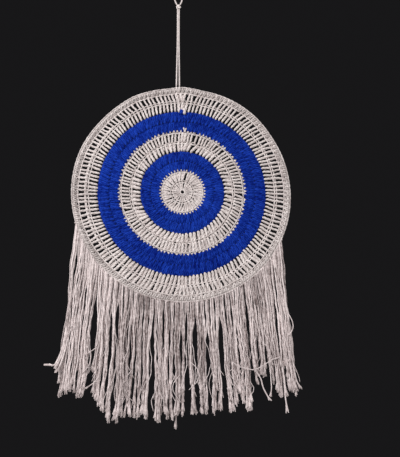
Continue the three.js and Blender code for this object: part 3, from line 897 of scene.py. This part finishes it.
class DREAMCATCHER_OT_fringe(Operator):
    """Knot the fringe round the lower rim"""

    bl_idname = "dreamcatcher.fringe"
    bl_label = "Knot the Fringe"

    def execute(self, context):
        sizes = context.scene.dreamcatcher_yarn
        self.finish = finish_of("fringe")
        tops = strand_tops(sizes.strands)
        self.row = tops.min(), tops.max()
        self.pitch = (HEM[-1, 0] - HEM[0, 0]) / tops.size
        self.knots(tops, sizes)
        for index, name in enumerate(BUNCHES):
            self.bunch(index, name, tops[index], sizes)
        return {"FINISHED"}

    def knots(self, tops, sizes):
        """Each strand's loop over the back of the rim."""
        yarn = Yarn(sizes.seed + 40)
        angle = math.pi - np.arcsin(tops.ravel() / FRINGE_RADIUS)
        turn = np.radians(np.linspace(-40, 130, 9))
        yarn.lay(rim_point(angle[:, None], turn, RIM_YARN + KNOT_LIFT), sizes.fringe / 2)
        piece = yarn.piece("fringe_knots_yarn", self.finish, "fringe_yarn")
        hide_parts(*(name.replace("lock", "knot") for name in BUNCHES))
        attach(piece, "disc")

    def bunch(self, index, name, tops, sizes):
        """One bunch: strands that gather into a few locks, with frayed ends."""
        yarn = Yarn(sizes.seed + 50 + index)
        for lock in self.locks(yarn.chance, tops):
            self.lock(yarn, tops[lock], sizes)
        for number, radius, route in STRAYS:
            if number == index:
                thick = radius * MM
                path = smooth(np.asarray(route) * MM, STRAY_STEP) + np.array((HOOP.x, 0, HOOP.z))
                yarn.lay(path, thick, tint=(0.7, 1))
                self.tuft(yarn, path, thick, sizes.tuft * 0.6)
        piece = yarn.piece(f"{name}_yarn", self.finish, "fringe_yarn")
        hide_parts(name)
        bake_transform(piece)

    def locks(self, chance, tops):
        """Splits a bunch's strands into neighbours that cling together, and where the fringe parts."""
        cuts = np.searchsorted(tops, PARTINGS[:, 0]).tolist()
        at = int(chance.integers(*LOCK_SIZES))
        while len(tops) - at > 2:
            cuts.append(at)
            at += int(chance.integers(*LOCK_SIZES))
        return [lock for lock in np.split(np.arange(len(tops)), sorted(cuts)) if len(lock)]

    def lock(self, yarn, tops, sizes):
        """Lays the strands of one lock."""
        chance = yarn.chance
        middle = tops.mean()
        filled = np.interp(middle / MM, FILLED[:, 0], FILLED[:, 1])
        room = len(tops) * self.pitch * filled
        lock = Lock(
            middle=middle,
            half=max(room - sizes.fringe, 0) / 2,
            sway=chance.normal(0, LOCK_SWAY) * (1.25 - filled),
            pushed=parting(middle),
            clings=chance.uniform(0, CLING_FROM),
            phase=chance.uniform(0, TAU),
            level=chance.normal(0, UNEVEN_ENDS),
        )
        ranks = np.linspace(-1, 1, len(tops) + 2)[1:-1] * 1.2
        for top, rank in zip(tops, ranks):
            thick = sizes.fringe / 2 * chance.normal(1, 0.07)
            path = self.strand(chance, lock, top, rank, sizes)
            # painted light: the strands' tint rises towards the ends of the row
            bright = np.interp(top / MM, SIDE_LIGHT_TINT[:, 0], SIDE_LIGHT_TINT[:, 1])
            slim = SLIM_TOPS - SLIM_OUTER * outermost(top)
            swell = 1 - slim + slim * ease(np.linspace(0, 4, len(path)))
            yarn.lay(path, thick * swell, tint=(bright, bright + TINT_RANGE))
            self.tuft(yarn, path, thick, sizes.tuft)
            if chance.random() < LOOSE_PLIES:
                self.flyaway(yarn, path)

    def end_of(self, chance, lock, top):
        """Height at which a strand ends: near the hem, above it, or as one of the long ends."""
        hem = self.hem_side(top)
        end = np.interp(hem, HEM[:, 0], HEM[:, 1]) + lock.level + chance.normal(0, UNEVEN_ENDS)
        if chance.random() < SHORT_STRANDS:
            end += chance.uniform(*SHORT_BY) * MM
        near = np.abs(LONG_ENDS[:, 0] - hem)
        return LONG_ENDS[near.argmin(), 1] if near.min() < LONG_NEAR else end

    def strand(self, chance, lock, top, rank, sizes):
        """The way of one strand from the rim down to where it frays."""
        end = self.end_of(chance, lock, top)
        start = float(rim_drop(top))
        rings = max(12, round((start - end) / STRAND_STEP))
        drop = np.linspace(start, end + sizes.tuft * 0.75, rings)
        share = (start - drop) / (start - end)
        clings = ease((share - lock.clings) / CLING_OVER)
        middle = lock.middle + (self.hem_side(lock.middle) - lock.middle) * share
        apart = top - lock.middle
        place = chance.uniform(0, TAU)
        packed = np.clip(rank + chance.normal(0, 0.3), -1, 1) + 0.2 * np.sin(place + 3 * share)
        packed = lock.half * (1 - NARROWS * share) * packed
        wave = 0.8 * MM * np.sin(drop / (17 * MM) + lock.phase)
        own = 0.5 * MM * np.sin(drop / (chance.uniform(2.6, 7) * MM) + chance.uniform(0, TAU))
        bend = chance.normal(0, 0.65 * MM) * np.sin(math.pi * share * chance.uniform(1, 2.5))
        free = np.clip(share * 6, 0, 1)
        aside = lock.sway + lock.pushed * (0.5 + 0.8 * share)
        side = middle + apart + (packed - apart + aside) * clings + (wave + own + bend) * free
        layer = (0.9 * math.sin(place) - 1.5) * MM
        deep = min(0.6 * MM + lock.half, 2.4 * MM)
        depth = layer + (deep * np.sin(place + 2 * share) + 0.4 * MM - layer) * clings
        depth = depth + 0.7 * MM * np.sin(drop / (19 * MM) + place) * free
        return np.stack([HOOP.x + np.clip(side, -WIDEST, WIDEST), depth, HOOP.z + drop], axis=1)

    def hem_side(self, top):
        """Side at the hem of a strand that leaves the rim here."""
        return np.interp(top, self.row, HEM[(0, -1), 0])

    def tuft(self, yarn, path, thick, length):
        """The frayed end of a strand: its plies part and spread."""
        chance = yarn.chance
        start, ahead = path[-2], path[-1] - path[-3]
        ahead = ahead / np.linalg.norm(ahead)
        share = np.linspace(0, 1, len(TUFT_THICK))[None, :, None]
        turn = (np.arange(TUFT_PLIES) + chance.random()) * TAU / TUFT_PLIES
        circle = np.stack([np.cos(turn), np.sin(turn), np.zeros(TUFT_PLIES)], axis=1)[:, None]
        fan = chance.uniform(0.2, 1.3, (TUFT_PLIES, 1, 1)) * 1.9 * thick
        reach = length * chance.uniform(0.7, 1.05, (TUFT_PLIES, 1, 1))
        paths = start + circle * (0.45 * thick + fan * share**1.6) + ahead * share * reach
        yarn.lay(paths, 0.6 * thick * TUFT_THICK, sides=4, tint=(0.5, 1))

    def flyaway(self, yarn, path):
        """A loose ply that leaves a strand and wanders across its neighbours."""
        chance = yarn.chance
        run = path[int(len(path) * chance.uniform(0.3, 0.8)):]
        share = np.linspace(0, 1, len(run))
        swing = chance.choice((-1, 1)) * chance.uniform(3, 10) * MM
        aside = swing * np.sin(share * chance.uniform(1.5, 4.5))
        lift = chance.uniform(0, 0.25) * (run[0, 2] - run[-1, 2]) * share**2
        forward = -(1.2 + 2.6 * np.sin(math.pi * share)) * MM
        ply = run + np.stack([aside, forward, lift], axis=1)
        ply[:, 0] = np.clip(ply[:, 0], HOOP.x - WIDEST, HOOP.x + WIDEST)
        yarn.lay(ply, LOOSE_PLY, sides=4, tint=(0.6, 1))


class DREAMCATCHER_OT_stage(Operator):
    """Set the floor, the lights and the camera"""

    bl_idname = "dreamcatcher.stage"
    bl_label = "Set the Stage"

    def execute(self, context):
        stage = context.scene.dreamcatcher_stage
        colours = context.scene.dreamcatcher_colours
        context.scene.view_settings.view_transform = "Standard"
        self.floor(colours)
        self.sky(context.scene, stage, colours)
        middle = Vector((HOOP.x, 0, HOOP.z))
        for name, place, size, power in LIGHTS:
            self.light(name, Vector(place), middle, getattr(stage, power), size)
        self.camera(context.scene, stage)
        return {"FINISHED"}

    def floor(self, colours):
        """A round floor far below."""
        bpy.ops.object.select_all(action="DESELECT")
        bpy.ops.mesh.primitive_circle_add(
            vertices=64, radius=FLOOR_RADIUS, fill_type="NGON", location=(0, 0, FLOOR_LEVEL))
        floor = bpy.context.object
        floor.name = "floor"
        bpy.ops.object.mode_set(mode="EDIT")
        bpy.ops.mesh.select_all(action="SELECT")
        bpy.ops.mesh.extrude_region_move(TRANSFORM_OT_translate={"value": (0, 0, FLOOR_THICK)})
        bpy.ops.object.mode_set(mode="OBJECT")
        bpy.ops.object.transform_apply(location=True, rotation=True, scale=True)
        floor.data.materials.append(painted_floor(colours))

    def sky(self, scene, stage, colours):
        """Even light all round. The camera, and what mirrors, sees the backdrop's colour instead."""
        scene.world = bpy.data.worlds.new("studio")
        sky = Finish(scene.world)
        seen = [sky.node("ShaderNodeLightPath", None, None, f"Is {ray} Ray")
                for ray in ("Camera", "Glossy", "Transmission")]
        direct = seen[0].math("MAXIMUM", seen[0], seen[1].math("MAXIMUM", seen[1], seen[2]))
        light = (stage.sky,) * 3
        colour = sky.mix(direct, light, tuple(colours.backdrop))
        shader = sky.node("ShaderNodeBackground", None, {"Color": colour, "Strength": 1.0})
        sky.node("ShaderNodeOutputWorld", None, {"Surface": shader})

    def light(self, name, place, target, power, size):
        lamp = bpy.data.lights.new(name, "AREA")
        lamp.energy = power
        lamp.size = size
        holder = bpy.data.objects.new(name, lamp)
        holder.location = place
        holder.rotation_euler = (target - place).to_track_quat("-Z", "Y").to_euler()
        bpy.context.scene.collection.objects.link(holder)

    def camera(self, scene, stage):
        """In front, framed as the picture is."""
        lens = bpy.data.cameras.new("camera")
        lens.lens = stage.lens
        holder = bpy.data.objects.new("camera", lens)
        scene.collection.objects.link(holder)
        ahead = Vector((
            math.sin(stage.aside) * math.cos(stage.below),
            math.cos(stage.aside) * math.cos(stage.below),
            math.sin(stage.below),
        ))
        holder.location = HOOP + VIEW_MIDDLE - stage.distance * ahead
        holder.rotation_euler = ahead.to_track_quat("-Z", "Y").to_euler()
        scene.camera = holder


STEPS = (
    DREAMCATCHER_OT_stage,
    DREAMCATCHER_OT_hanger,
    DREAMCATCHER_OT_rounds,
    DREAMCATCHER_OT_rim,
    DREAMCATCHER_OT_fringe,
)


class DREAMCATCHER_PT_panel(Panel):
    """Lists the sizes, the colours and the steps"""

    bl_idname = "DREAMCATCHER_PT_panel"
    bl_label = "Dream Catcher"
    bl_space_type = "VIEW_3D"
    bl_region_type = "UI"
    bl_category = "Dream Catcher"

    def draw(self, context):
        for group in ("dreamcatcher_yarn", "dreamcatcher_colours", "dreamcatcher_stage"):
            values = getattr(context.scene, group)
            box = self.layout.box()
            for name in values.__annotations__:
                box.prop(values, name)
        for step in STEPS:
            self.layout.operator(step.bl_idname)


GROUPS = {
    "dreamcatcher_yarn": DreamcatcherYarn,
    "dreamcatcher_colours": DreamcatcherColours,
    "dreamcatcher_stage": DreamcatcherStage,
}
CLASSES = (*GROUPS.values(), *STEPS, DREAMCATCHER_PT_panel)


def register():
    for item in CLASSES:
        bpy.utils.register_class(item)
    for name, group in GROUPS.items():
        setattr(bpy.types.Scene, name, PointerProperty(type=group))


def unregister():
    for name in GROUPS:
        delattr(bpy.types.Scene, name)
    for item in reversed(CLASSES):
        bpy.utils.unregister_class(item)


def main():
    """Makes the stage and every piece."""
    register()
    bpy.ops.dreamcatcher.stage()
    bpy.ops.dreamcatcher.hanger()
    bpy.ops.dreamcatcher.rounds()
    bpy.ops.dreamcatcher.rim()
    bpy.ops.dreamcatcher.fringe()


if __name__ == "__main__":
    main()
